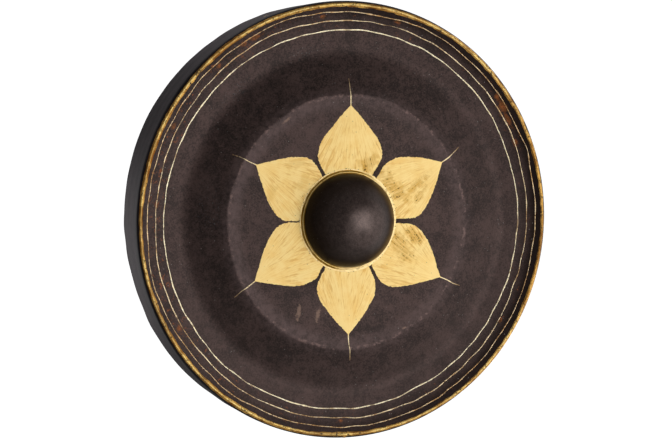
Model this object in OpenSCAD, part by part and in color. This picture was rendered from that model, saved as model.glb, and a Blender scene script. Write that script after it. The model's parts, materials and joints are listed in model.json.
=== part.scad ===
// Bossed gong, hung upright with its face towards -Y and its axis along Y.
// A beaten face plate with a raised plateau carries a hollow boss in its centre. A tapered
// skirt runs back from the rim, and two holes in the skirt take the hanging cord.
// The origin is the middle of the gong's box, on its axis.

/* [Gong] */
// Outside diameter at the rim corner
gong_d = 500; // [300:10:800]
// Thickness of the beaten sheet
sheet = 2; // [1.2:0.1:2.6]
// Outside radius of the corner where the face turns into the skirt
corner_r = 4; // [3:0.5:7]

/* [Skirt] */
// Depth from the rim line to the skirt's back edge
skirt_depth = 64; // [45:1:100]
// How far the skirt leans in towards the back, in degrees
skirt_taper = 4.7; // [0:0.1:10]
// Width of the brazed butt joint that closes the skirt band
skirt_joint_w = 2.4; // [1.5:0.1:4]

/* [Hanging holes] */
// Diameter of the two cord holes
hole_d = 8; // [5:0.5:12]
// Angle of each hole from the top, in degrees
hole_angle = 20; // [12:1:35]
// Distance of the holes behind the rim line
hole_setback = 26; // [18:1:34]

/* [Face] */
// Plateau diameter as a share of the gong's diameter
plateau_share = 0.582; // [0.55:0.002:0.62]
// Height of the plateau in front of the rim line
plateau_rise = 8; // [3:0.5:12]
// Diameter of the valley round the plateau, as a share of the gong's diameter
valley_share = 0.776; // [0.75:0.002:0.8]
// Slope of the outer face, rising from the valley to the rim, in degrees
rise_angle = 10; // [5:0.5:13]

/* [Boss] */
// Boss diameter as a share of the gong's diameter
boss_share = 0.214; // [0.19:0.002:0.22]
// Height of the boss in front of the plateau
boss_height = 42; // [28:1:60]
// Leg of the brazed fillet round the foot of the boss
fillet_leg = 3.5; // [2:0.5:5]

/* [Ornament] */
// Reach of a petal's tip from the axis, as a share of the gong's radius
petal_share = 0.522; // [0.48:0.002:0.54]
// Reach of the hairline beyond each tip, as a share of the gong's radius
hairline_share = 0.642; // [0.58:0.002:0.68]
// Width of the dark slit between two petals
slit_w = 3.2; // [1.5:0.1:5]
// Width of a scraped ring line
line_w = 1.3; // [0.8:0.1:2.5]

/* [Hidden] */
$fn = 96;
PETALS = 6;
RING_LINES = ["inner", "middle", "outer"];
// Ring line radii as shares of the gong's radius
RING_SHARES = [0.867, 0.911, 0.950];

COAT = "#3b3232";
COAT_GREY = "#3d3c40";
BOSS_COAT = "#2b2423";
BARE_METAL = "#e9c47a";
BRAZE = "#c79a4e";

// Radii from the axis, and heights in front of the rim line
gong_r = gong_d / 2;
boss_r = gong_r * boss_share;
plateau_r = gong_r * plateau_share;
valley_r = gong_r * valley_share;
boss_top = plateau_rise + boss_height;
middle_height = (boss_top - skirt_depth) / 2;

// Bend radii of the face's front surface
crease_bend = 4;
valley_bend = 30;

// The rim corner: its centre, and the angles at which the face ends and the skirt begins
corner = [gong_r - corner_r, -corner_r];
face_end_angle = 90 + rise_angle;
skirt_start_angle = 60;

// Outside radius of the skirt at a given depth behind the rim line
function skirt_r(depth) =
    gong_r - corner_r + corner_r / cos(skirt_taper) - (depth - corner_r) * tan(skirt_taper);

// How far the bead stands proud of the sheet, outside and inside
bead_proud = 0.5;
bead_root = 0.3;

// Thickness of the scraped ornament's bare-metal skin
skin = 0.25;
// Half-widths of a petal's tip and of the hairline's end
tip_half = 0.6;
hairline_half = 0.25;

function unit(a) = [cos(a), sin(a)];
function left_normal(p, q) = let (d = (q - p) / norm(q - p)) [-d[1], d[0]];
function turned(v, a) = [v[0] * cos(a) - v[1] * sin(a), v[0] * sin(a) + v[1] * cos(a)];

// Signed turn of the path at point i, positive towards its left side
function turn(path, i) =
    let (a = left_normal(path[i - 1], path[i]), b = left_normal(path[i], path[i + 1]))
    atan2(a[0] * b[1] - a[1] * b[0], a * b);

// The path moved by t towards its left side, each point along its mitre
function shifted(path, t) = [
    for (i = [0:len(path) - 1])
        let (
            a = left_normal(path[max(i - 1, 0)], path[max(i, 1)]),
            b = left_normal(path[min(i, len(path) - 2)], path[min(i + 1, len(path) - 1)])
        )
        path[i] + t * (a + b) / (1 + a * b)
];

// The path with an arc of radius bends[i - 1] at each inner point i
function rounded(path, bends, steps = 8) = concat(
    [path[0]],
    [
        for (i = [1:len(path) - 2])
            let (
                a = left_normal(path[i - 1], path[i]),
                angle = turn(path, i),
                side = sign(angle),
                bend = bends[i - 1],
                along = [a[1], -a[0]],
                start = path[i] - along * bend * tan(abs(angle) / 2),
                centre = start + side * bend * a
            )
            for (k = [0:steps])
                centre - side * bend * turned(a, angle * k / steps)
    ],
    [path[len(path) - 1]]
);

// Bend radii of the path's copy that is shifted by t
function bends_at(path, bends, t) =
    [for (i = [0:len(bends) - 1]) bends[i] - sign(turn(path, i + 1)) * t];

function reversed(list) = [for (i = [len(list) - 1:-1:0]) list[i]];

// A closed band between two copies of the path, shifted by near and far
function band(path, bends, near, far) = concat(
    rounded(shifted(path, near), bends_at(path, bends, near)),
    reversed(rounded(shifted(path, far), bends_at(path, bends, far)))
);

// Points at radius r about the rim corner's centre
function corner_arc(r, from, to, steps = 8) =
    [for (k = [0:steps]) corner + r * unit(from + (to - from) * k / steps)];

function bezier(p, t) =
    pow(1 - t, 3) * p[0] + 3 * t * pow(1 - t, 2) * p[1]
    + 3 * t * t * (1 - t) * p[2] + pow(t, 3) * p[3];

// The face's front surface, from the boss to the rim corner, before its bends are rounded
face_end = corner + corner_r * unit(face_end_angle);
valley = face_end - unit(rise_angle) * (face_end[0] - valley_r) / cos(rise_angle);
face_path = [[boss_r, plateau_rise], [plateau_r, plateau_rise], valley, face_end];
face_bends = [crease_bend, valley_bend];

// Turns a shape drawn about Z, with the front towards +Z, to the gong's own axis
module on_gong_axis() {
    rotate([90, 0, 0]) translate([0, 0, -middle_height]) children();
}

module face_plate() {
    color(COAT) on_gong_axis() rotate_extrude() polygon(band(face_path, face_bends, 0, -sheet));
}

// Half of the boss's outline: a quarter ellipse on a short straight foot
function dome(r, foot, top, steps = 20) =
    let (shoulder = plateau_rise + fillet_leg)
    concat(
        [[r, foot]],
        [
            for (k = [0:steps - 1])
                let (a = 90 * k / steps)
                [r * cos(a), shoulder + (top - shoulder) * sin(a)]
        ],
        [[0, top]]
    );

module boss() {
    foot = plateau_rise - sheet;
    outside = dome(boss_r, foot, boss_top);
    inside = dome(boss_r - sheet, foot, boss_top - sheet);
    color(BOSS_COAT) on_gong_axis() rotate_extrude() polygon(concat(outside, reversed(inside)));
}

module boss_seam() {
    centre = [boss_r + fillet_leg, plateau_rise + fillet_leg];
    hollow = [for (k = [0:8]) centre + fillet_leg * unit(270 - 90 * k / 8)];
    color(BRAZE) on_gong_axis() rotate_extrude() polygon(concat([[boss_r, plateau_rise]], hollow));
}

// Points of the bead's surface at radius r about the corner's centre, bulging by bulge halfway
function bead_arc(r, bulge, steps = 8) =
    let (span = face_end_angle - skirt_start_angle)
    [
        for (k = [0:steps])
            let (bulged_r = r + bulge * sin(180 * k / steps))
            corner + bulged_r * unit(face_end_angle - span * k / steps)
    ];

module rim_bead() {
    outside = bead_arc(corner_r, bead_proud);
    inside = bead_arc(corner_r - sheet, -bead_root);
    color(BRAZE) on_gong_axis() rotate_extrude() polygon(concat(outside, reversed(inside)));
}

module skirt_band() {
    back_r = skirt_r(skirt_depth);
    back_edge = [for (r = [back_r, back_r - sheet / cos(skirt_taper)]) [r, -skirt_depth]];
    rotate_extrude() polygon(concat(
        corner_arc(corner_r, skirt_start_angle, -skirt_taper),
        back_edge,
        corner_arc(corner_r - sheet, -skirt_taper, skirt_start_angle)
    ));
}

// The gap at the bottom of the skirt where the ends of the band meet
module skirt_gap() {
    translate([-skirt_joint_w / 2, -gong_r - 1, -skirt_depth - 1])
        cube([skirt_joint_w, gong_r / 2, skirt_depth + 2]);
}

// A cord hole, square to the skirt's outside
module hanging_hole(angle) {
    rotate([0, 0, 90 + angle]) translate([skirt_r(hole_setback), 0, -hole_setback])
        rotate([0, 90 + skirt_taper, 0]) cylinder(d = hole_d, h = 8 * sheet, center = true);
}

module skirt() {
    color(COAT_GREY) on_gong_axis() difference() {
        skirt_band();
        skirt_gap();
        hanging_hole(hole_angle);
        hanging_hole(-hole_angle);
    }
}

module skirt_seam() {
    color(BRAZE) on_gong_axis() intersection() {
        skirt_band();
        skirt_gap();
    }
}

// The bare-metal skin over the whole front of the face, from which the ornament is cut
module face_skin() {
    rotate_extrude() polygon(band(face_path, face_bends, skin, 0));
}

// Right half of a petal that points along +Y, from the foot of the boss out to its hairline
function petal_half() =
    let (
        edge = unit(90 - 180 / PETALS),
        inset = slit_w / 2 * [-edge[1], edge[0]],
        tip = gong_r * petal_share,
        foot_r = boss_r + fillet_leg,
        shoulder = 0.63 * tip * edge + inset,
        side = [shoulder, shoulder + 0.07 * tip * edge, [0.22, 0.735] * tip, [tip_half, tip]]
    )
    concat(
        [foot_r * edge + inset],
        [for (k = [0:12]) bezier(side, k / 12)],
        [[hairline_half, gong_r * hairline_share]]
    );

// Petal i, counted anticlockwise as the face is seen; the first points half a sixth above +X
module petal(i) {
    half = petal_half();
    mirrored = [for (p = reversed(half)) [-p[0], p[1]]];
    foot_r = boss_r + fillet_leg;
    half_angle = atan(half[0][0] / half[0][1]);
    foot = [for (k = [1:7]) foot_r * unit(90 + half_angle * (1 - k / 4))];
    color(BARE_METAL) on_gong_axis() intersection() {
        face_skin();
        rotate([0, 0, (i - 0.5) * 360 / PETALS - 90]) translate([0, 0, -2 * plateau_rise])
            linear_extrude(height = 4 * plateau_rise)
                polygon(concat(half, mirrored, foot));
    }
}

module ring_line(i) {
    middle = gong_r * RING_SHARES[i];
    color(BARE_METAL) on_gong_axis() intersection() {
        face_skin();
        translate([0, 0, -gong_r / 2]) difference() {
            cylinder(r = middle + line_w / 2, h = gong_r);
            translate([0, 0, -1]) cylinder(r = middle - line_w / 2, h = gong_r + 2);
        }
    }
}

face_plate();
boss();
boss_seam();
rim_bead();
skirt();
skirt_seam();
for (i = [1:PETALS])
    petal(i);
for (i = [0:len(RING_LINES) - 1])
    ring_line(i);
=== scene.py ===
"""The bossed gong's looks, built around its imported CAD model.

Sizes are in millimetres until place() turns them into the scene's metres. A point on the gong is given by
its radius from the axis, its angle (anticlockwise from +X, as the face is seen) and its height in front of
the rim line.
"""

import json
import math

import bmesh
import bpy
import numpy as np
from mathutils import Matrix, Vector


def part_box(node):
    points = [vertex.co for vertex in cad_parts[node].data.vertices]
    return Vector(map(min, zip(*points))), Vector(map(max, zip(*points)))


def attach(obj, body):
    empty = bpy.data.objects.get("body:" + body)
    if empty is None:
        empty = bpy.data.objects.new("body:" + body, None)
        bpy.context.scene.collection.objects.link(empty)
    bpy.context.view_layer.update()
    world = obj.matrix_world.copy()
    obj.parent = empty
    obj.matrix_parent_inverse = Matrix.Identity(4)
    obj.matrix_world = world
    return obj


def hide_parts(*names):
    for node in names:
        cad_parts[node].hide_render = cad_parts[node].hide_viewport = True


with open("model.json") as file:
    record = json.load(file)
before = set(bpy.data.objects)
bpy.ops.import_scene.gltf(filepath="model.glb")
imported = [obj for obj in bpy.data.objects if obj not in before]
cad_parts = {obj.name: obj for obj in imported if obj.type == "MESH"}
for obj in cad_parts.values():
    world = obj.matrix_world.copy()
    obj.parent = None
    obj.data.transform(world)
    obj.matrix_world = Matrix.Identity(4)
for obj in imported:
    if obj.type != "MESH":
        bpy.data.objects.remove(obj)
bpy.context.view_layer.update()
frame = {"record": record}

MM = 0.001
BODY = "root"

# Sizes that the CAD model fixes: three that repeat its own values, and those that its nodes' boxes give
BOSS_HEIGHT = 42.0
PLATEAU_RISE = 8.0
SHEET = 2.0
boss_low, boss_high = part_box("boss")
skirt_low, skirt_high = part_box("skirt")
BOSS_TOP = PLATEAU_RISE + BOSS_HEIGHT
RIM_Y = boss_low.y / MM + BOSS_TOP
GONG_R = (skirt_high.x - skirt_low.x) / MM / 2
BOSS_R = (boss_high.x - boss_low.x) / MM / 2
SKIRT_DEPTH = skirt_high.y / MM - RIM_Y

# The face's section: a flat plateau, a slope down to the valley and a shallow rise to the rim corner
PLATEAU_R = 145.5
PLATEAU_DROP = 2.0
SLOPE = math.tan(math.radians(19.4))
VALLEY_R = 194.0
VALLEY_HEIGHT = -9.1
RISE = math.tan(math.radians(10.0))
CORNER_R = 4.0
FACE_TURN = 100.0  # where round the corner the face begins, in degrees from straight outwards
FACE_END_R = GONG_R - CORNER_R + CORNER_R * math.cos(math.radians(FACE_TURN))

# The skirt begins this far round the same corner and behind the rim line, and leans in towards the back
SKIRT_TURN = 60.0
SKIRT_TOP = 0.5
SKIRT_TAPER = math.radians(4.7)
# Where the skirt's back edge was knocked out or in: direction and how far, and over how many degrees
SKIRT_KNOCKS = [(131, 2.2, 24), (199, -2.1, 14)]

# The boss's straight foot above the plateau, and how far the seam round it reaches, where the petals begin
BOSS_FOOT = 3.5
SEAM_R = BOSS_R + 5.5

# Petals: direction in degrees, reach of the tip, reach of the hairline, its sway sideways, and how full
# the petal's left and right sides are, left being the anticlockwise side
PETALS = [
    (29.0, 132.5, 161.5, 3.5, 0.95, 1.03),
    (88.4, 130.8, 161.8, 1.0, 1.00, 1.05),
    (149.6, 128.5, 157.8, 3.0, 0.975, 1.00),
    (210.4, 130.5, 159.9, 4.0, 0.95, 1.00),
    (270.2, 130.2, 161.0, 3.5, 0.97, 1.04),
    (329.3, 132.4, 161.3, 4.0, 0.96, 1.02),
]
# The dark slits between the petals, starting with the one clockwise of the first: direction and width
SLITS = [(-1.6, 5.6), (56.9, 6.2), (119.3, 4.0), (180.1, 1.9), (240.9, 3.9), (297.4, 4.1)]

# Ring lines: radius, width, and the places where the hand strayed, each with its angle, how far it
# strayed outwards and over how many degrees
RING_LINES = {
    "inner": (216.8, 1.2, [(193, 0.7, 9), (112, -0.8, 8), (296, -1.6, 5), (22, -0.8, 6)]),
    "middle": (227.6, 0.98, [(192, 1.5, 8), (172, -1.0, 7), (341, -2.0, 7), (22, 1.0, 6), (112, 0.8, 7)]),
    "outer": (237.6, 0.9, [
        (195, 2.2, 8), (19, 2.2, 3.5), (29, -0.8, 4), (78, -1.5, 6), (108, 1.4, 6), (227, -0.9, 3),
    ]),
}


def srgb(red, green, blue):
    """The linear colour of an 8-bit sRGB one."""
    share = np.array([red, green, blue]) / 255
    linear = np.where(share <= 0.04045, share / 12.92, ((share + 0.055) / 1.055) ** 2.4)
    return (*(float(c) for c in linear), 1.0)


# ---------------------------------------------------------------- the gong's surfaces


def place(r, angle, height):
    """Scene points of gong points, all three given as arrays or numbers; the angle is in radians."""
    r, angle, height = np.broadcast_arrays(r, angle, height)
    return np.stack([r * np.cos(angle), RIM_Y - height, r * np.sin(angle)], -1) * MM


def smooth_min(a, b, width):
    """The lower of a and b, rounded where they are within width of each other."""
    share = np.clip(0.5 + 0.5 * (b - a) / width, 0, 1)
    return b + (a - b) * share - width * share * (1 - share)


def waver(angle, size, slowest, fastest, seed):
    """A hand's unsteadiness round the gong: a smooth periodic wobble of about the given size."""
    rng = np.random.default_rng(seed)
    total = np.zeros_like(angle)
    for count in range(slowest, fastest + 1):
        total += rng.normal() * np.cos(count * angle + rng.uniform(0, math.tau)) / math.sqrt(count)
    scale = math.sqrt(sum(0.5 / count for count in range(slowest, fastest + 1)))
    return size * total / scale


def grain(length, step, size, seed):
    """Random values along a line, smooth over the given step, for a distance array."""
    rng = np.random.default_rng(seed)
    knots = np.arange(length.min() - 2 * step, length.max() + 3 * step, step)
    return np.interp(length, knots, rng.normal(0, size, len(knots)))


def make_dents():
    """Where the hammer fell on the face: x, z, radius and depth of each shallow dent."""
    rng = np.random.default_rng(11)
    dents = []
    for ring, count, radius, depth in (
        (100, 34, 20, 0.16), (128, 44, 14, 0.14), (162, 58, 11, 0.3), (176, 62, 11, 0.3),
        (192, 60, 13, 0.22), (209, 60, 15, 0.2), (226, 66, 13, 0.16), (239, 80, 9, 0.12),
    ):
        turns = np.arange(count) * math.tau / count + rng.normal(0, 0.25 * math.tau / count, count)
        spread = ring + rng.normal(0, 4, count)
        for turn, r in zip(turns, spread):
            size = radius * rng.uniform(0.75, 1.3)
            dents.append((r * math.cos(turn), r * math.sin(turn), size, depth * rng.normal(0.4, 0.8)))
    return np.array(dents)


DENTS = make_dents()


def relief(x, z):
    """Height of the beaten face's unevenness."""
    total = np.zeros(np.broadcast(x, z).shape)
    for dent_x, dent_z, radius, depth in DENTS:
        total -= depth * np.exp(-((x - dent_x) ** 2 + (z - dent_z) ** 2) / radius**2)
    angle = np.arctan2(z, x)
    return total + waver(angle, 0.35, 2, 7, 5) * np.clip(np.hypot(x, z) / GONG_R, 0, 1) ** 2


def face_height(x, z):
    """Height of the face's front at points across the gong."""
    plateau_r = np.hypot(x, z + PLATEAU_DROP) + waver(np.arctan2(z, x), 0.5, 3, 12, 21)
    slope = PLATEAU_RISE - (plateau_r - PLATEAU_R) * SLOPE
    rise = VALLEY_HEIGHT + (np.hypot(x, z) - VALLEY_R) * RISE
    inner = smooth_min(np.full_like(slope, PLATEAU_RISE), slope, 0.5)
    return -smooth_min(-inner, -rise, 4.2) + relief(x, z)


def skirt_point(depth, angle, inset):
    """Radius and height on the skirt at a depth behind the rim line, inset from its outside."""
    corner_share = np.clip((depth - SKIRT_TOP) / (CORNER_R - SKIRT_TOP), 0, 1)
    turn = np.radians(SKIRT_TURN) * (1 - corner_share) - SKIRT_TAPER * corner_share
    straight = np.maximum(depth - CORNER_R, 0)
    r = GONG_R - CORNER_R + (CORNER_R - inset) * np.cos(turn) - straight * math.tan(SKIRT_TAPER)
    height = -CORNER_R + (CORNER_R - inset) * np.sin(turn) - straight
    share = np.clip(depth / SKIRT_DEPTH, 0, 1)
    r = r + share * waver(angle, 0.5, 2, 9, 31) + share * waver(angle, 0.16, 20, 60, 32)
    for middle, push, reach in SKIRT_KNOCKS:
        away = (np.degrees(angle) - middle + 180) % 360 - 180
        r = r + share * push * np.exp(-((away / reach) ** 2))
    return r, height + share**2 * waver(angle, 0.45, 2, 14, 33)


# ---------------------------------------------------------------- mesh building


def piece(name, node, points, faces, materials, material_of=None, marks=None):
    """Makes a mesh that stands for a CAD node: smooth, closed, and riding on the gong's one body."""
    mesh = bpy.data.meshes.new(name)
    mesh.from_pydata(points.tolist(), [], faces)
    for material in materials:
        mesh.materials.append(material)
    if material_of is not None:
        mesh.polygons.foreach_set("material_index", np.asarray(material_of, np.int32))
    for mark, values in (marks or {}).items():
        mesh.attributes.new(mark, "FLOAT", "POINT").data.foreach_set("value", values.astype(np.float32))
    work = bmesh.new()
    work.from_mesh(mesh)
    bmesh.ops.recalc_face_normals(work, faces=work.faces)
    work.to_mesh(mesh)
    work.free()
    mesh.shade_smooth()
    mesh.set_sharp_from_angle(angle=math.radians(50))
    made = bpy.data.objects.new(name, mesh)
    bpy.context.scene.collection.objects.link(made)
    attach(made, BODY)
    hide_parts(node)
    return made


def loft(rings, closed):
    """Points and faces of a solid through rings of points. It is closed on itself or capped at its ends."""
    count, size = rings.shape[:2]
    points = rings.reshape(-1, 3)
    faces = []
    for i in range(count if closed else count - 1):
        row, following = i * size, (i + 1) % count * size
        for j in range(size):
            beside = (j + 1) % size
            faces.append((row + j, row + beside, following + beside, following + j))
    if not closed:
        middles = np.array([rings[0].mean(0), rings[-1].mean(0)])
        for middle, row in ((len(points), 0), (len(points) + 1, (count - 1) * size)):
            faces += [(middle, row + j, row + (j + 1) % size) for j in range(size)]
        points = np.concatenate([points, middles])
    return points, faces


def turns(count):
    """Angles all the way round the gong."""
    return np.arange(count) * math.tau / count


def build_face_plate(coat, back_coat):
    """The beaten sheet of the face, closest-meshed where the plateau's edge bends."""
    around = turns(640)[:, None]
    bend_start, bend_end, near_rim = PLATEAU_R - 3.5, PLATEAU_R + 3.5, 243.0
    front = np.concatenate([
        np.linspace(BOSS_R, bend_start - 1, 42),
        np.linspace(bend_start, bend_end, 15),
        np.linspace(bend_end + 1.5, near_rim, 60),
        [near_rim + 1.4, FACE_END_R],
    ])
    back = np.concatenate([
        [FACE_END_R + 0.3],
        np.linspace(near_rim, bend_end + 1.5, 46),
        np.linspace(bend_end, bend_start, 6),
        np.linspace(bend_start - 2, BOSS_R, 24),
    ])
    radii = np.concatenate([front, back])
    drop = np.concatenate([np.zeros(len(front)), np.full(len(back), SHEET)])
    x, z = radii * np.cos(around), radii * np.sin(around)
    points, faces = loft(place(radii, around, face_height(x, z) - drop), closed=True)
    backs = np.arange(len(faces)) % len(radii) >= len(front)
    coats = [coat, back_coat]
    return piece("face_plate_beaten", "face_plate", points, faces, coats, backs)


def build_boss(coat, back_coat):
    """The hollow dome, a little out of round and dented by the hammer."""
    around = turns(256)
    shoulder = PLATEAU_RISE + BOSS_FOOT

    def dome(r, top, steps):
        rise = np.linspace(math.pi / 2 - 0.004, 0, steps)
        return [(r * math.cos(a), shoulder + (top - shoulder) * math.sin(a)) for a in rise]

    outside = dome(BOSS_R, BOSS_TOP, 64) + [(BOSS_R, h) for h in (10.5, 9.4, 8.2, 6.2)]
    inside = [(BOSS_R - SHEET, h) for h in (6.2, 8.5, 10.5)]
    inside += dome(BOSS_R - SHEET, BOSS_TOP - SHEET, 40)[::-1]
    rng = np.random.default_rng(41)
    dents = [
        (rng.uniform(5, 46), rng.uniform(0, math.tau), rng.uniform(6, 13), rng.normal(0, 0.16))
        for _ in range(46)
    ]
    rings = []
    for r, height in outside + inside:
        radius = np.full_like(around, r)
        lift = np.zeros_like(around)
        for dent_r, turn, size, depth in dents:
            gap = (r * np.cos(around) - dent_r * math.cos(turn)) ** 2
            gap += (r * np.sin(around) - dent_r * math.sin(turn)) ** 2
            lift += depth * np.exp(-gap / size**2)
        lift *= np.clip((height - shoulder) / 6, 0, 1)
        radius = radius * (1 + waver(around, 0.0035, 2, 5, 42))
        rings.append(place(radius, around, height + lift))
    points, faces = loft(np.array(rings), closed=False)
    ring_of = np.arange(len(faces)) // len(around)
    backs = (ring_of >= len(outside)) & (ring_of < len(outside) + len(inside) - 1)
    backs[-len(around):] = True
    return piece("boss_dome", "boss", points, faces, [coat, back_coat], backs)


def build_boss_seam(metal):
    """The filed braze round the foot of the boss: two small steps, and a thin collar out to the petals."""
    around = turns(540)[:, None]
    section = np.array([
        (-0.4, -1.0), (5.3, -0.8), (5.5, 0.0), (5.4, 0.14), (5.2, 0.17), (3.8, 0.17), (2.9, 0.17),
        (2.7, 0.2), (2.6, 0.3), (2.45, 0.6), (2.35, 0.7), (2.2, 0.75), (1.7, 0.75), (1.3, 0.78),
        (1.15, 0.85), (1.05, 1.0), (0.45, 1.9), (0.35, 2.0), (0.2, 2.05), (-0.4, 2.05),
    ])
    width = 1 + waver(around, 0.05, 3, 30, 51) + waver(around, 0.025, 30, 90, 52)
    rise = 1 + waver(around, 0.08, 3, 40, 53)
    radii = BOSS_R + section[:, 0] * width
    points, faces = loft(place(radii, around, PLATEAU_RISE + section[:, 1] * rise), closed=True)
    return piece("boss_seam_braze", "boss_seam", points, faces, [metal])


def build_rim_bead(metal):
    """The braze along the rim corner: an uneven bead whose edges run thin over the face and the skirt."""
    around = turns(1600)[:, None]
    share = np.linspace(0, 1, 12)
    upper_left = np.cos(around - math.radians(135))
    start = 128 + 11 * upper_left + waver(around, 5, 4, 30, 61) + waver(around, 3, 30, 160, 62)
    end = 52 + 7 * upper_left + waver(around, 3, 4, 30, 63) + waver(around, 2, 30, 160, 64)
    turn = start + (end - start) * share
    proud = 0.42 + waver(around, 0.1, 6, 80, 65) + waver(around, 0.05, 80, 200, 66)
    swell = np.sin(math.pi * share)
    radius = CORNER_R + proud * swell**0.7 - 0.12 * (1 - swell)
    over_face = np.radians(np.maximum(turn - FACE_TURN, 0)) * CORNER_R
    turn = np.minimum(turn, FACE_TURN)
    root = np.broadcast_to(np.linspace(54, 112, 6), (len(around), 6))
    root_radius = CORNER_R - SHEET - 0.5 * np.sin(np.linspace(0, math.pi, 6))
    turn = np.radians(np.concatenate([turn, root], 1))
    radius = np.concatenate([radius, np.broadcast_to(root_radius, root.shape)], 1)
    over_face = np.concatenate([over_face, 0 * root], 1)
    r = GONG_R - CORNER_R + radius * np.cos(turn) - over_face
    height = -CORNER_R + radius * np.sin(turn) - over_face * RISE + waver(around, 0.35, 2, 7, 5)
    points, faces = loft(place(r, around, height), closed=True)
    return piece("rim_bead_braze", "rim_bead", points, faces, [metal])


def build_ring_line(name, metal, seed):
    """A line scraped through the coat by hand, wavering and uneven in width."""
    r, width, strays = RING_LINES[name]
    around = turns(1440)[:, None]
    middle = r + waver(around, 0.4, 3, 20, 71) + waver(around, 0.3, 8, 60, seed)
    for angle, reach, spread in strays:
        off = (np.degrees(around) - angle + 180) % 360 - 180
        middle += reach * np.exp(-((off / spread) ** 2))
    uneven = 1 + waver(around, 0.16, 4, 50, seed + 1) + waver(around, 0.14, 50, 300, seed + 2)
    across = np.array([-1, -0.9, -0.3, 0.3, 0.9, 1])
    lift = np.array([-0.25, 0.04, 0.1, 0.1, 0.04, -0.25])
    radii = middle + across * width / 2 * np.clip(uneven, 0.35, 2)
    height = face_height(radii * np.cos(around), radii * np.sin(around)) + lift
    points, faces = loft(place(radii, around, height), closed=True)
    node = f"ring_line_{name}"
    return piece(f"{node}_scraped", node, points, faces, [metal])


def petal_half_width(u, tip, spread, slit, fullness, seed):
    """Half-width of one side of a petal at distances u from the gong's axis. The side follows a slit that
    is spread degrees from the petal's direction, and then bulges and runs to the tip."""
    spread = math.radians(spread)
    beside_slit = u * math.tan(spread) - slit / 2 / math.cos(spread)
    along_slit = np.array([math.cos(spread), math.sin(spread)])
    leaving = np.array([0.46 * tip, 0.46 * tip * math.tan(spread) - slit / 2 / math.cos(spread)])
    controls = np.array([
        leaving, leaving + 0.15 * tip * along_slit, (0.665 * tip, 0.322 * tip), (tip, 0.6),
    ])
    t = np.linspace(0, 1, 60)[:, None]
    curve = (1 - t) ** 3 * controls[0] + 3 * t * (1 - t) ** 2 * controls[1]
    curve += 3 * t**2 * (1 - t) * controls[2] + t**3 * controls[3]
    width = np.where(u < leaving[0], beside_slit, np.interp(u, curve[:, 0], curve[:, 1]))
    width = width * (1 + (fullness - 1) * np.clip((u - 66) / 10, 0, 1))
    hand = grain(u, 1.4, 0.3, seed) + grain(u, 9.0, 0.25, seed + 1)
    return width + hand * np.clip(width / 8, 0, 1)


def build_petal(i, metal):
    """A scraped petal with the hairline that runs on from its tip, as one thin skin on the face."""
    direction, tip, end, sway, left_full, right_full = PETALS[i]
    (right_at, right_slit), (left_at, left_slit) = SLITS[i], SLITS[(i + 1) % 6]
    left_spread, right_spread = ((left_at - direction) % 360, (direction - right_at) % 360)
    corner_u = SEAM_R * math.cos(math.radians(28.5))
    u = np.concatenate([np.linspace(corner_u, tip, 170), np.linspace(tip, end, 60)[1:]])
    on_hairline = np.clip((u - tip) / (end - tip), 0, 1)
    hairline = 0.66 - 0.3 * on_hairline + grain(u, 1.6, 0.07, 300 + i)
    seed = 200 + 10 * i
    left = petal_half_width(u, tip, left_spread, left_slit, left_full, seed)
    right = petal_half_width(u, tip, right_spread, right_slit, right_full, seed + 5)
    left, right = (np.where(u <= tip, side, hairline) for side in (left, right))
    across = np.linspace(-1, 1, 37)
    v = np.where(across > 0, left[:, None] * across, right[:, None] * across)
    swayed = sway * on_hairline**1.4 + grain(u, 7, 0.25, 320 + i) * (on_hairline > 0)
    v = v + swayed[:, None]
    foot = np.sqrt(np.maximum(SEAM_R**2 - v**2, 0)) - corner_u
    along = np.clip((u - corner_u) / (tip - corner_u), 0, 1)[:, None]
    uu = u[:, None] + foot * np.clip(1 - along, 0, 1) ** 3 * (across**2 < 1)
    turn = math.radians(direction)
    x = uu * math.cos(turn) - v * math.sin(turn)
    z = uu * math.sin(turn) + v * math.cos(turn)
    surface = face_height(x, z)
    lift = 0.12 - 0.07 * np.abs(across) ** 6
    top = place(np.hypot(x, z), np.arctan2(z, x), surface + lift)
    under = place(np.hypot(x, z), np.arctan2(z, x), surface - 0.3)
    points, faces = loft(np.concatenate([top, under[:, ::-1]], 1), closed=False)
    fan = v / np.maximum(1.12 * tip - uu, 5)
    marks = {}
    for mark, values in (("along", uu), ("fan", fan), ("fade", on_hairline[:, None] + 0 * uu)):
        both = np.concatenate([values, values[:, ::-1]], 1)
        marks[mark] = np.concatenate([both.ravel(), [both[0].mean(), both[-1].mean()]])
    name = f"petal_{i + 1}"
    return piece(f"{name}_scraped", name, points, faces, [metal], marks=marks)


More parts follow.
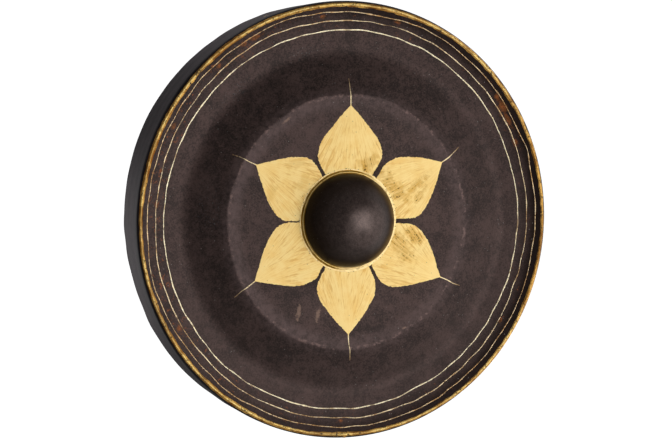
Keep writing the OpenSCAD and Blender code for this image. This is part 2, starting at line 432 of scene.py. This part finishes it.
def build_skirt(coat, back_coat, bare):
    """The band behind the rim, with its two cord holes and the gap where its ends meet."""
    half_gap = 1.2 / GONG_R
    angles = np.linspace(-math.pi / 2 + half_gap, 1.5 * math.pi - half_gap, 721)
    round_corner = np.linspace(SKIRT_TOP, CORNER_R, 7)
    depths = np.concatenate([round_corner, np.linspace(CORNER_R + 1.5, SKIRT_DEPTH, 40)])
    rows, columns = len(depths), len(angles)
    sides = []
    for inset in (0.0, SHEET):
        r, height = skirt_point(depths[:, None], angles, inset)
        sides.append(place(r, angles, height))
    points = [tuple(p) for p in np.concatenate(sides).reshape(-1, 3)]
    inner = rows * columns

    holes = [m for m in frame["record"]["mounts"] if m["name"].startswith("hang_hole")]
    blocks = []
    for hole in holes:
        turn = math.atan2(hole["pos_m"][2], hole["pos_m"][0])
        column = int(np.argmin(abs(angles - turn)))
        row = int(np.argmin(abs(depths - (hole["pos_m"][1] / MM - RIM_Y))))
        blocks.append((hole, row - 4, row + 4, column - 3, column + 3))

    def in_block(i, j):
        return any(top <= i < bottom and left <= j < right for _, top, bottom, left, right in blocks)

    faces, material_of = [], []
    for side, start in enumerate((0, inner)):
        for i in range(rows - 1):
            for j in range(columns - 1):
                if not in_block(i, j):
                    a = start + i * columns + j
                    faces.append((a, a + 1, a + columns + 1, a + columns))
                    material_of.append(side)
    for i in (0, rows - 1):
        for j in range(columns - 1):
            a = i * columns + j
            faces.append((a, a + 1, inner + a + 1, inner + a))
            material_of.append(0)
    for j in (0, columns - 1):
        for i in range(rows - 1):
            a = i * columns + j
            faces.append((a, a + columns, inner + a + columns, inner + a))
            material_of.append(0)

    for hole, top, bottom, left, right in blocks:
        border = [(top, j) for j in range(left, right)]
        border += [(i, right) for i in range(top, bottom)]
        border += [(bottom, j) for j in range(right, left, -1)]
        border += [(i, left) for i in range(bottom, top, -1)]
        outer_loop = [i * columns + j for i, j in border]
        axis, middle = Vector(hole["axis"]), Vector(hole["pos_m"])
        radius = hole["dims"]["r_mm"]
        loops = [outer_loop]
        rounded_wall = ((1.0, 0.0), (0.25, 0.15), (0.0, 0.5), (0.0, 1.5), (0.25, 1.85), (1.0, 2.0))
        for widen, depth in rounded_wall:
            loop = []
            for index in outer_loop:
                spoke = Vector(points[index]) - middle
                spoke = (spoke - axis * spoke.dot(axis)).normalized()
                loop.append(len(points))
                outward = spoke * (radius + widen) + axis * (SHEET / 2 - depth)
                points.append(tuple(middle + outward * MM))
            loops.append(loop)
        loops.append([inner + index for index in outer_loop])
        # The coat runs up to the hole on both sides, and the wall of the hole is bare
        material_of_ring = [0] + [2] * (len(loops) - 3) + [1]
        for near, far, material in zip(loops, loops[1:], material_of_ring):
            for k in range(len(near)):
                beside = (k + 1) % len(near)
                faces.append((near[k], near[beside], far[beside], far[k]))
                material_of.append(material)
    coats = [coat, back_coat, bare]
    return piece("skirt_band", "skirt", np.array(points), faces, coats, material_of)


def build_skirt_seam(metal):
    """The braze in the skirt's butt joint, filed nearly flush, with a few ridges left."""
    depths = np.linspace(0.6, SKIRT_DEPTH - 0.2, 90)
    section = np.array([
        (-1, 0), (-0.6, 0.8), (0, 1), (0.6, 0.8), (1, 0), (1, -1), (0.5, -1.25), (0, -1.4),
        (-0.5, -1.25), (-1, -1),
    ])
    across, up = section.T
    rings = []
    for k, depth in enumerate(depths):
        proud = 0.28 + 0.1 * math.sin(depth * 1.9) + 0.06 * math.sin(depth * 4.3 + 1)
        half = 1.75 + 0.25 * math.sin(depth * 0.8) + 0.18 * math.sin(depth * 2.7 + 2)
        angle = -math.pi / 2 + across * half / GONG_R
        r, height = skirt_point(np.full(len(section), depth), angle, 0.0)
        lift = np.where(up >= 0, up * (proud + 0.06) - 0.06, up * (SHEET + 0.06) + 0.06)
        rings.append(place(r + lift, angle, height))
    points, faces = loft(np.array(rings), closed=False)
    return piece("skirt_seam_braze", "skirt_seam", points, faces, [metal])


# ---------------------------------------------------------------- materials


class Finish:
    """One material's node tree, with short calls for the nodes that it is made of. Lengths are in mm."""

    def __init__(self, name, metallic=0.0):
        self.material = bpy.data.materials.new(name)
        self.material.use_nodes = True
        self.tree = self.material.node_tree
        self.shader = self.tree.nodes["Principled BSDF"]
        self.shader.inputs["Metallic"].default_value = metallic
        coordinates = self.tree.nodes.new("ShaderNodeTexCoord").outputs["Object"]
        in_mm = {0: coordinates, "Scale": 1 / MM}
        self.where = self.add("ShaderNodeVectorMath", in_mm, operation="SCALE").outputs[0]
        self.x, self.y, self.z = self.add("ShaderNodeSeparateXYZ", {0: self.where}).outputs
        self.r = self.length(self.x, self.z)
        self.cos = self.math("DIVIDE", self.x, self.r)
        self.sin = self.math("DIVIDE", self.z, self.r)

    def feed(self, socket, value):
        if isinstance(value, bpy.types.NodeSocket):
            self.tree.links.new(value, socket)
        else:
            socket.default_value = value

    def add(self, kind, inputs, **settings):
        node = self.tree.nodes.new(kind)
        for key, value in settings.items():
            setattr(node, key, value)
        for key, value in inputs.items():
            self.feed(node.inputs[key], value)
        return node

    def math(self, operation, a, b=0.0):
        return self.add("ShaderNodeMath", {0: a, 1: b}, operation=operation).outputs[0]

    def times(self, *factors):
        total = factors[0]
        for factor in factors[1:]:
            total = self.math("MULTIPLY", total, factor)
        return total

    def plus(self, *terms):
        total = terms[0]
        for term in terms[1:]:
            total = self.math("ADD", total, term)
        return total

    def most(self, *values):
        total = values[0]
        for value in values[1:]:
            total = self.math("MAXIMUM", total, value)
        return total

    def length(self, a, b):
        return self.math("SQRT", self.plus(self.times(a, a), self.times(b, b)))

    def vector(self, x, y, z):
        return self.add("ShaderNodeCombineXYZ", {0: x, 1: y, 2: z}).outputs[0]

    def mark(self, name):
        """A value that the mesh's points carry under that name."""
        return self.add("ShaderNodeAttribute", {}, attribute_name=name).outputs["Fac"]

    def noise(self, size, where=None, detail=3.0, roughness=0.55, distortion=0.0):
        """Noise from about 0.3 to 0.7 whose features are about size across."""
        inputs = {"Vector": where or self.where, "Scale": 1 / size, "Detail": detail}
        inputs |= {"Roughness": roughness, "Distortion": distortion}
        return self.add("ShaderNodeTexNoise", inputs).outputs["Fac"]

    def cells(self, size):
        """Distance from the nearest of scattered points, as a share of their spacing."""
        inputs = {"Vector": self.where, "Scale": 1 / size}
        return self.add("ShaderNodeTexVoronoi", inputs).outputs["Distance"]

    def around(self, length, cross, width):
        """Coordinates for streaks that run round the gong's axis, of that length and width."""
        turn = GONG_R / length
        along = self.times(self.cos, turn), self.times(self.sin, turn)
        return self.vector(*along, self.times(cross, 1 / width))

    def remap(self, value, low, high, start=0.0, end=1.0):
        """Smoothly maps value from low..high to start..end, and holds the ends."""
        inputs = {"Value": value, "From Min": low, "From Max": high, "To Min": start, "To Max": end}
        return self.add("ShaderNodeMapRange", inputs, interpolation_type="SMOOTHSTEP").outputs[0]

    def band(self, value, low, high, soft):
        """1 between low and high, falling to 0 over soft on each side."""
        rising = self.remap(value, low - soft, low)
        return self.times(rising, self.remap(value, high, high + soft, 1.0, 0.0))

    def patch(self, x, z, length, width, turn=0.0, edge=None):
        """1 in the middle of an oval mark on the face, 0 outside it. turn is the direction of its length in
        degrees, and edge is a noise that makes its outline ragged."""
        c, s = math.cos(math.radians(turn)), math.sin(math.radians(turn))
        from_x, from_z = self.plus(self.x, -x), self.plus(self.z, -z)
        along = self.plus(self.times(from_x, c), self.times(from_z, s))
        across = self.plus(self.times(from_z, c), self.times(from_x, -s))
        gap = self.length(self.times(along, 2 / length), self.times(across, 2 / width))
        if edge is not None:
            gap = self.plus(gap, self.times(self.plus(edge, -0.5), 3.0))
        return self.remap(gap, 0.35, 1.0, 1.0, 0.0)

    def patches(self, places, edge=None):
        return self.most(*(self.patch(*place_of, edge=edge) for place_of in places))

    def blend(self, share, first, second):
        return self.add("ShaderNodeMix", {0: share, 6: first, 7: second}, data_type="RGBA").outputs[2]

    def bump(self, height, distance, strength=1.0, under=None):
        """Relief of height (0 to 1) times distance."""
        inputs = {"Height": height, "Distance": distance * MM, "Strength": strength}
        if under is not None:
            inputs["Normal"] = under
        return self.add("ShaderNodeBump", inputs).outputs[0]

    def done(self, colour, roughness, normal=None, metallic=None):
        self.feed(self.shader.inputs["Base Color"], colour)
        self.feed(self.shader.inputs["Roughness"], roughness)
        if normal is not None:
            self.feed(self.shader.inputs["Normal"], normal)
        if metallic is not None:
            self.feed(self.shader.inputs["Metallic"], metallic)
        return self.material


def make_face_coat():
    """Blackened brass: mottled, rubbed at the plateau's edge, darkest and copper-stained near the rim, with
    painted shade darkening the rim zone on the right and painted fill light towards the lower right.
    """
    f = Finish("face_coat", metallic=0.65)
    cloud = f.noise(32, detail=3, roughness=0.6)
    mottle = f.noise(6, detail=4, roughness=0.7)
    fine = f.noise(1.9, detail=3, roughness=0.8)
    tone = f.plus(f.times(cloud, 0.25), f.times(mottle, 0.3), f.times(fine, 0.45))
    colour = f.blend(f.remap(tone, 0.41, 0.59), srgb(46, 35, 32), srgb(86, 67, 63))
    edge_r = f.length(f.x, f.plus(f.z, PLATEAU_DROP))
    # Painted fill light: the coat is made lighter towards its lower right and outer part, standing in for
    # fill light from below and the side
    lower = f.remap(f.plus(f.times(f.cos, 0.2), f.times(f.sin, -1.0)), -1.1, 0.9, 0.1, 1.0)
    painted_fill_light = f.times(f.remap(f.r, 130, 215), lower)
    colour = f.blend(f.times(painted_fill_light, 0.16), colour, srgb(108, 89, 84))
    rubbed = f.times(
        f.band(edge_r, PLATEAU_R - 7, PLATEAU_R - 1, 14.0),
        f.remap(mottle, 0.3, 0.7, 0.3, 1.0),
        f.remap(f.cos, -1.0, 0.6, 0.65, 0.35),
    )
    colour = f.blend(rubbed, colour, srgb(108, 90, 88))
    here_and_there = f.remap(f.noise(7, detail=5, roughness=0.7), 0.5, 0.62)
    worn = f.times(f.band(edge_r, PLATEAU_R - 2, PLATEAU_R, 2.0), here_and_there)
    colour = f.blend(f.times(worn, 0.6), colour, srgb(138, 112, 106))
    # Darker towards the rim: blackened coat, plus painted shade that makes this zone darker on the right
    # side
    outer = f.plus(f.times(f.remap(f.r, 214, 226), 0.5), f.times(f.remap(f.r, 228, 238), 0.55))
    shade = f.plus(0.55, f.times(f.cos, 0.34))
    blackened_and_shaded = f.times(outer, shade)
    colour = f.blend(blackened_and_shaded, colour, srgb(24, 15, 11))
    edge = f.noise(5, detail=4, roughness=0.75)
    near_rim = f.band(f.r, 220, 238, 3.0)
    left = f.remap(f.cos, -0.9, 0.2, 0.05, 0.0)
    copper_noise = f.noise(5, detail=5, roughness=0.75, distortion=0.6)
    copper = f.times(f.remap(f.plus(copper_noise, left), 0.61, 0.75), near_rim)
    stains = f.patches([
        (196, 127, 20, 12, 120), (189, 138, 11, 8, 120), (203, 112, 26, 7, 118),
        (-122, 202, 11, 8, 30), (-152, 177, 9, 7, 40), (-108, 209, 20, 7, 28),
        (-27, 232, 9, 6, 0), (65, 225, 10, 5, -15), (195, -120, 11, 6, 60),
        (-5, -230, 9, 6, 0), (213, 85, 12, 8, 110), (-200, -118, 12, 8, -60),
        (-206, 110, 10, 7, 60), (-226, 22, 12, 6, 85), (-221, 60, 9, 5, 75),
    ], edge)
    copper = f.most(copper, f.times(stains, f.remap(edge, 0.35, 0.6, 0.4, 1.0)))
    rust = f.blend(f.remap(copper_noise, 0.42, 0.6), srgb(122, 74, 26), srgb(162, 92, 50))
    colour = f.blend(f.times(copper, 0.85), colour, rust)
    slit_grime = f.times(f.remap(f.r, 84, 66), f.remap(edge, 0.35, 0.6, 0.5, 1.0))
    colour = f.blend(f.times(slit_grime, 0.75), colour, srgb(46, 28, 14))
    scuffs = f.patches([
        (-60, -103, 21, 7.5, 80), (-37, -107, 20, 6.5, 78), (-75, 115, 16, 4, 35), (70, -125, 8, 3, 20),
    ], edge)
    colour = f.blend(f.times(scuffs, 0.6), colour, srgb(150, 122, 106))
    powdery = f.patches([(-130, 148, 70, 40, 50), (-50, 190, 60, 26, 20), (-165, 15, 110, 44, 90)])
    dusty = f.plus(f.noise(1.8, detail=3, roughness=0.85), f.times(powdery, 0.11))
    colour = f.blend(f.times(f.remap(dusty, 0.7, 0.82), 0.7), colour, srgb(112, 124, 128))
    specks = f.times(f.remap(f.cells(7), 0.05, 0.1, 1.0, 0.0), f.remap(f.noise(40), 0.4, 0.58))
    colour = f.blend(f.times(specks, 0.6), colour, srgb(154, 148, 144))
    roughness = f.plus(f.times(mottle, 0.16), f.times(fine, 0.1), 0.39)
    f.feed(f.shader.inputs["Specular IOR Level"], f.remap(blackened_and_shaded, 0.0, 0.8, 0.5, 0.15))
    normal = f.bump(mottle, 0.25, 0.35, f.bump(fine, 0.06, 0.5))
    return f.done(colour, roughness, normal)


def make_back_coat():
    """The inside, which nobody rubs: dull oxidised brass under thin, patchy black, with hammer marks."""
    f = Finish("back_coat", metallic=0.4)
    cloud = f.noise(45, detail=5, roughness=0.62)
    mottle = f.noise(6, detail=4, roughness=0.7)
    tone = f.plus(f.times(cloud, 0.65), f.times(mottle, 0.35))
    colour = f.blend(f.remap(tone, 0.42, 0.58), srgb(48, 38, 32), srgb(100, 78, 56))
    thin = f.times(f.remap(f.noise(15, detail=6, roughness=0.7), 0.54, 0.66), 0.6)
    colour = f.blend(thin, colour, srgb(158, 118, 64))
    soot_and_painted_shade = f.times(f.remap(f.noise(70, detail=4, roughness=0.6), 0.5, 0.62), 0.5)
    colour = f.blend(soot_and_painted_shade, colour, srgb(34, 27, 24))
    hammer = f.remap(f.cells(11), 0.0, 0.8)
    normal = f.bump(mottle, 0.2, 0.4, f.bump(hammer, 0.45, 0.7))
    return f.done(colour, f.plus(f.times(mottle, 0.2), 0.4), normal)


def make_skirt_coat():
    """Slate-black metal, drawn out in streaks along the band, with painted shade darkening it just behind
    the rim.
    """
    f = Finish("skirt_coat", metallic=0.6)
    streaks = f.noise(1.0, f.around(70, f.y, 1.7), detail=4, roughness=0.6)
    broad = f.noise(1.0, f.around(160, f.y, 11), detail=3)
    mottle = f.noise(8, detail=4, roughness=0.65)
    tone = f.plus(f.times(streaks, 0.45), f.times(broad, 0.35), f.times(mottle, 0.2))
    colour = f.blend(f.remap(tone, 0.41, 0.59), srgb(44, 35, 38), srgb(88, 74, 80))
    # Painted shade: a dark band on the skirt just behind the rim corner
    painted_shade_behind_rim = f.remap(f.y, RIM_Y + 5, RIM_Y + 10, 1.0, 0.0)
    colour = f.blend(f.times(painted_shade_behind_rim, 0.7), colour, srgb(18, 14, 14))
    normal = f.bump(streaks, 0.25, 0.5, f.bump(f.noise(2.0, detail=3), 0.06, 0.4))
    return f.done(colour, f.plus(f.times(streaks, 0.25), 0.34), normal)


def make_boss_coat():
    """Blackened brass on the boss, rubbed to a soft shine where the mallet strikes, dull at the foot."""
    f = Finish("boss_coat")
    mottle = f.noise(5, detail=5, roughness=0.7)
    fine = f.noise(1.6, detail=3, roughness=0.75)
    tone = f.plus(f.times(mottle, 0.5), f.times(fine, 0.5))
    colour = f.blend(f.remap(tone, 0.4, 0.6), srgb(66, 53, 49), srgb(92, 76, 71))
    foot = f.remap(f.r, 22, 48)
    colour = f.blend(f.times(foot, 0.8), colour, srgb(40, 30, 22))
    # Painted reflection of the gold petals on the right side of the boss's foot
    painted_gold_reflection = f.times(
        f.remap(f.r, 36, 50),
        f.remap(f.cos, 0.1, 0.7),
        f.remap(f.noise(9, detail=4), 0.3, 0.6, 0.4, 1.0),
    )
    colour = f.blend(f.times(painted_gold_reflection, 0.45), colour, srgb(124, 92, 50))
    specks = f.remap(f.cells(4.5), 0.04, 0.1, 1.0, 0.0)
    upper_left = f.remap(f.plus(f.z, f.times(f.x, -1.0)), -20, 40)
    colour = f.blend(f.times(specks, upper_left, 0.5), colour, srgb(150, 150, 146))
    roughness = f.plus(f.times(fine, 0.12), f.times(mottle, 0.08), 0.21)
    normal = f.bump(mottle, 0.1, 0.4, f.bump(fine, 0.03, 0.5))
    f.feed(f.shader.inputs["Specular IOR Level"], f.remap(foot, 0.0, 1.0, 0.72, 0.1))
    return f.done(colour, roughness, normal, f.remap(foot, 0.0, 1.0, 0.65, 0.15))


def make_petal_brass():
    """Bare brass, scraped in strokes that fan out from each petal's tip, with stains of old blacking."""
    f = Finish("petal_brass", metallic=0.92)
    along, fan, fade = (f.mark(name) for name in ("along", "fan", "fade"))
    seed = f.times(f.plus(f.x, f.times(f.z, 1.7)), 0.006)

    def strokes(count, length, tilt, shift, detail=2):
        """Long thin marks that lean a little from the fan's lines."""
        across = f.plus(f.times(fan, count), f.times(along, tilt))
        where = f.vector(across, f.times(along, 1 / length), f.plus(seed, shift))
        return f.noise(1.0, where, detail=detail, roughness=0.6)

    fine = strokes(110, 60, 0.04, 0)
    crossed = strokes(70, 50, -0.12, 9)
    cloud = f.noise(14, detail=3)
    tone = f.plus(f.times(fine, 0.35), f.times(crossed, 0.3), f.times(cloud, 0.35))
    colour = f.blend(f.remap(tone, 0.4, 0.58), srgb(243, 205, 127), srgb(254, 226, 156))
    long_marks = strokes(36, 34, 0.02, 20, detail=3)
    leaning = strokes(26, 24, 0.1, 31, detail=3)
    patchy = f.remap(f.noise(22, detail=4, roughness=0.65), 0.4, 0.6, -0.07, 0.05)
    stains = f.most(
        f.remap(f.plus(long_marks, patchy), 0.55, 0.68),
        f.remap(f.plus(leaning, patchy), 0.57, 0.7),
    )
    colour = f.blend(f.times(stains, f.remap(along, 95, 128, 0.6, 0.25)), colour, srgb(218, 165, 76))
    colour = f.blend(f.remap(along, 100, 130, 0.0, 0.6), colour, srgb(255, 226, 154))
    edge = f.noise(7, detail=5, roughness=0.7)
    smudges = f.patches([
        (30, 68, 20, 18, 60), (37, 52, 24, 20, -40), (50, 42, 46, 22, -60), (64, 30, 38, 24, -30),
        (84, 38, 56, 13, 38), (88, 26, 36, 11, 55), (64, -28, 62, 26, -52), (82, -20, 36, 20, -40),
        (22, 62, 26, 22, 0),
    ], edge)
    faint = f.patches([(-62, 66, 34, 15, 10), (-56, 44, 32, 16, 40), (-92, 34, 36, 13, 60)], edge)
    smudges = f.most(smudges, f.times(faint, 0.45))
    worked = f.remap(f.plus(f.times(long_marks, 0.6), f.times(edge, 0.4)), 0.36, 0.6, 0.3, 1.0)
    colour = f.blend(f.times(smudges, worked, 0.75), colour, srgb(206, 158, 66))
    blots = f.noise(2.4, detail=5, roughness=0.75)
    blacking = f.plus(f.times(long_marks, 0.4), f.times(blots, 0.6), f.times(smudges, 0.085))
    dark = f.remap(blacking, 0.63, 0.71)
    colour = f.blend(f.times(dark, 0.9), colour, srgb(84, 62, 10))
    by_the_seam = f.remap(f.r, SEAM_R, SEAM_R + 1.6, 1.0, 0.0)
    dots = f.times(f.remap(f.cells(2.6), 0.16, 0.28, 1.0, 0.0), by_the_seam)
    specks = f.times(f.remap(f.cells(3.0), 0.12, 0.22, 1.0, 0.0), f.patch(-100, -47, 12, 8))
    lone = f.times(f.remap(f.cells(9), 0.04, 0.08, 1.0, 0.0), 0.7)
    colour = f.blend(f.times(f.most(dots, specks, lone), 0.8), colour, srgb(70, 50, 26))
    colour = f.blend(f.times(f.remap(fade, 0.0, 0.1), 0.8), colour, srgb(255, 236, 196))
    colour = f.blend(f.times(f.remap(fade, 0.45, 1.0), 0.8), colour, srgb(160, 116, 70))
    broken = f.times(f.remap(fade, 0.0, 0.2), f.remap(f.noise(2.0, detail=2), 0.52, 0.66))
    colour = f.blend(f.times(broken, 0.7), colour, srgb(84, 62, 50))
    roughness = f.plus(f.times(tone, 0.2), f.times(dark, 0.1), 0.45)
    normal = f.bump(fine, 0.025, 0.4, f.bump(crossed, 0.025, 0.4))
    return f.done(colour, roughness, normal)


def make_line_brass():
    """Bare brass in a scraped line, dull where the scraper skipped, most of all in the outer lines."""
    f = Finish("line_brass", metallic=0.9)
    grains = f.noise(2.0, detail=3, roughness=0.7)
    colour = f.blend(f.remap(grains, 0.35, 0.65), srgb(246, 226, 180), srgb(255, 246, 218))
    outward = f.remap(f.r, 219, 234)
    skip = f.plus(f.noise(1.0, f.around(22, f.r, 30), detail=5, roughness=0.7), f.times(outward, 0.07))
    colour = f.blend(f.times(f.remap(skip, 0.48, 0.66), 0.75), colour, srgb(138, 96, 48))
    colour = f.blend(f.times(outward, 0.35), colour, srgb(220, 156, 76))
    gaps = f.noise(2.6, detail=3, roughness=0.7)
    broken = f.remap(f.plus(gaps, f.times(outward, 0.05)), 0.56, 0.66)
    colour = f.blend(f.times(broken, 0.7), colour, srgb(90, 62, 36))
    normal = f.bump(grains, 0.1, 0.6)
    return f.done(colour, f.plus(f.times(grains, 0.2), 0.38), normal)


def make_braze():
    """The filed braze of the rim bead and seams: gold, with a painted highlight along the rim bead's crest,
    brown and pitted between. Round the boss it is cleaner, with painted shade, a dark reflection, in its
    grooves and on the band beside them on the left."""
    f = Finish("braze")
    drawn = f.noise(1.0, f.around(12, f.r, 1.4), detail=4, roughness=0.6)
    patch = f.noise(30, detail=5, roughness=0.7)
    lit_side = f.plus(f.times(f.cos, 0.01), f.times(f.sin, -0.01))
    tone = f.plus(f.times(drawn, 0.5), f.times(patch, 0.5), lit_side)
    colour = f.blend(f.remap(tone, 0.4, 0.57), srgb(144, 88, 20), srgb(238, 186, 96))
    # Painted highlight: a thin bright line along the crest of the rim bead, fading out on the right
    painted_crest_highlight = f.times(
        f.band(f.r, GONG_R - 4.6, GONG_R - 3.8, 0.9),
        f.remap(patch, 0.42, 0.56, 0.3, 1.0),
        f.remap(f.cos, 0.8, 0.97, 0.8, 0.0),
    )
    colour = f.blend(painted_crest_highlight, colour, srgb(255, 226, 144))
    tarnish = f.patches([
        (244, -38, 24, 110, 10), (-176, 176, 30, 24, 45), (-175, -178, 26, 20, 45),
        (-222, -105, 70, 20, -65), (-30, -247, 60, 20, 5),
    ])
    colour = f.blend(f.times(tarnish, 0.55), colour, srgb(128, 84, 36))
    pits = f.remap(f.plus(f.noise(3.0, detail=4, roughness=0.75), f.times(patch, 0.3)), 0.71, 0.8)
    colour = f.blend(f.times(pits, 0.85), colour, srgb(58, 36, 22))
    collar = f.band(f.r, BOSS_R - 1, SEAM_R + 1, 1.0)
    colour = f.blend(f.times(collar, 0.9), colour, srgb(255, 228, 166))
    # Painted shade on the left of the boss seam: a darker golden band and dark lines in its grooves,
    # standing in for the dark reflection there
    turned = f.plus(f.times(f.cos, -0.94), f.times(f.sin, 0.34))
    left_painted_shade = f.times(f.remap(turned, -0.35, 0.0), f.remap(f.noise(14, detail=3), 0.3, 0.5, 0.6, 1.0))
    wandering = f.plus(f.r, f.times(f.noise(18, detail=3), 1.4), -0.7)
    left_shaded_band = f.times(f.band(wandering, BOSS_R - 1, BOSS_R + 4.0, 0.3), left_painted_shade)
    colour = f.blend(f.times(left_shaded_band, 0.8), colour, srgb(250, 214, 128))
    inner_groove = f.band(wandering, BOSS_R - 1, BOSS_R + 0.7, 0.2)
    outer_groove = f.band(wandering, BOSS_R + 2.1, BOSS_R + 4.0, 0.25)
    soot_and_painted_shade = f.times(f.most(inner_groove, outer_groove), left_painted_shade)
    colour = f.blend(f.times(soot_and_painted_shade, 0.95), colour, srgb(136, 94, 0))
    by_the_petals = f.band(f.r, SEAM_R - 1, SEAM_R + 1, 0.4)
    dots = f.times(f.remap(f.cells(2.6), 0.16, 0.28, 1.0, 0.0), by_the_petals)
    colour = f.blend(f.times(dots, 0.8), colour, srgb(64, 46, 26))
    rough = f.remap(collar, 0.0, 1.0, 1.0, 0.3)
    normal = f.bump(f.times(drawn, rough), 0.25, 0.6, f.bump(pits, 0.25, 0.5))
    metallic = f.plus(f.remap(pits, 0.0, 1.0, 0.75, 0.3), f.times(collar, 0.2))
    return f.done(colour, f.plus(f.times(drawn, 0.2), f.times(pits, 0.2), 0.38), normal, metallic)


# ---------------------------------------------------------------- the stage


def direction(azimuth, elevation):
    """The unit vector from the gong towards an azimuth and elevation, azimuth 0 being straight in front."""
    a, e = math.radians(azimuth), math.radians(elevation)
    return Vector((math.sin(a) * math.cos(e), -math.cos(a) * math.cos(e), math.sin(e)))


# The middle of the rim, and how far the camera and the lights stand from it, in metres
RIM_CENTRE = Vector((0, RIM_Y * MM, 0))
CAMERA_DISTANCE = 4.5
LIGHT_DISTANCE = 2.4


def make_camera():
    """A long lens, to the gong's left and a little above its axis."""
    data = bpy.data.cameras.new("camera")
    data.sensor_width = 36.0
    data.lens = 211.2
    data.shift_x = -0.014
    camera = bpy.data.objects.new("camera", data)
    bpy.context.scene.collection.objects.link(camera)
    back = direction(-21.34, 3.56)
    camera.location = RIM_CENTRE + back * CAMERA_DISTANCE
    camera.rotation_euler = (-back).to_track_quat("-Z", "Y").to_euler()
    data.clip_end = 400
    bpy.context.scene.camera = camera


def make_softbox(name, azimuth, elevation, half_width, half_height, radiance):
    """A soft light that faces the gong: where it stands and how far it reaches each way, in degrees as seen
    from the gong, and the radiance of its surface."""
    data = bpy.data.lights.new(name, "AREA")
    data.shape = "ELLIPSE" if half_width == half_height else "RECTANGLE"
    data.size = 2 * LIGHT_DISTANCE * math.tan(math.radians(half_width))
    data.size_y = 2 * LIGHT_DISTANCE * math.tan(math.radians(half_height))
    area = data.size * data.size_y * (math.pi / 4 if data.shape == "ELLIPSE" else 1)
    data.energy = radiance * math.pi * area
    light = bpy.data.objects.new(name, data)
    bpy.context.scene.collection.objects.link(light)
    toward = direction(azimuth, elevation)
    light.location = RIM_CENTRE + toward * LIGHT_DISTANCE
    light.rotation_euler = toward.to_track_quat("Z", "Y").to_euler()
    light.visible_camera = False


def make_world():
    """A grey studio, which the camera sees as a plain white backdrop."""
    world = bpy.data.worlds.new("studio")
    bpy.context.scene.world = world
    world.use_nodes = True
    nodes, links = world.node_tree.nodes, world.node_tree.links
    backdrop = nodes["Background"]
    backdrop.inputs["Color"].default_value = (1, 1, 1, 1)
    light_path = nodes.new("ShaderNodeLightPath").outputs["Is Camera Ray"]
    strength = nodes.new("ShaderNodeMapRange")
    strength.inputs["To Min"].default_value = 0.14
    strength.inputs["To Max"].default_value = 1.05
    links.new(light_path, strength.inputs["Value"])
    links.new(strength.outputs[0], backdrop.inputs["Strength"])


def make_floor():
    """A plain white floor, well below the hanging gong."""
    mesh = bpy.data.meshes.new("floor")
    reach, level = 200.0, -0.8
    corners = [
        (-reach, -reach, level),
        (reach, -reach, level),
        (reach, reach, level),
        (-reach, reach, level),
    ]
    mesh.from_pydata(corners, [], [(0, 1, 2, 3)])
    floor = bpy.data.objects.new("floor", mesh)
    bpy.context.scene.collection.objects.link(floor)
    paint = bpy.data.materials.new("floor_white")
    paint.use_nodes = True
    shader = paint.node_tree.nodes["Principled BSDF"]
    shader.inputs["Base Color"].default_value = (0.8, 0.8, 0.8, 1)
    shader.inputs["Roughness"].default_value = 0.9
    shader.inputs["Specular IOR Level"].default_value = 0.0
    shader.inputs["Emission Color"].default_value = (1, 1, 1, 1)
    shader.inputs["Emission Strength"].default_value = 1.0
    mesh.materials.append(paint)
    floor.visible_diffuse = False
    floor.visible_glossy = False


def make_stage():
    """The studio: a broad key from the front right, soft fills, and three lights behind the gong."""
    make_world()
    make_floor()
    make_softbox("key_core", 26, -4, 12, 12, 2.5)
    make_softbox("key", 26, -4, 20, 20, 1.25)
    make_softbox("fill", 40, -16, 44, 34, 0.42)
    make_softbox("side", 90, 0, 40, 50, 0.46)
    make_softbox("bounce", 40, -89, 33, 33, 0.31)
    make_softbox("back_left", -145, -12, 22, 22, 0.6)
    make_softbox("back_top", 180, 62, 26, 26, 0.8)
    make_softbox("back_right", 122, 4, 22, 36, 2.2)
    bpy.context.scene.view_settings.view_transform = "Standard"


def main():
    make_camera()
    make_stage()
    back_coat = make_back_coat()
    petal_brass = make_petal_brass()
    line_brass = make_line_brass()
    braze = make_braze()
    build_face_plate(make_face_coat(), back_coat)
    build_boss(make_boss_coat(), back_coat)
    build_boss_seam(braze)
    build_rim_bead(braze)
    build_skirt(make_skirt_coat(), back_coat, line_brass)
    build_skirt_seam(braze)
    for i in range(len(PETALS)):
        build_petal(i, petal_brass)
    for number, name in enumerate(RING_LINES):
        build_ring_line(name, line_brass, 80 + 5 * number)


main()
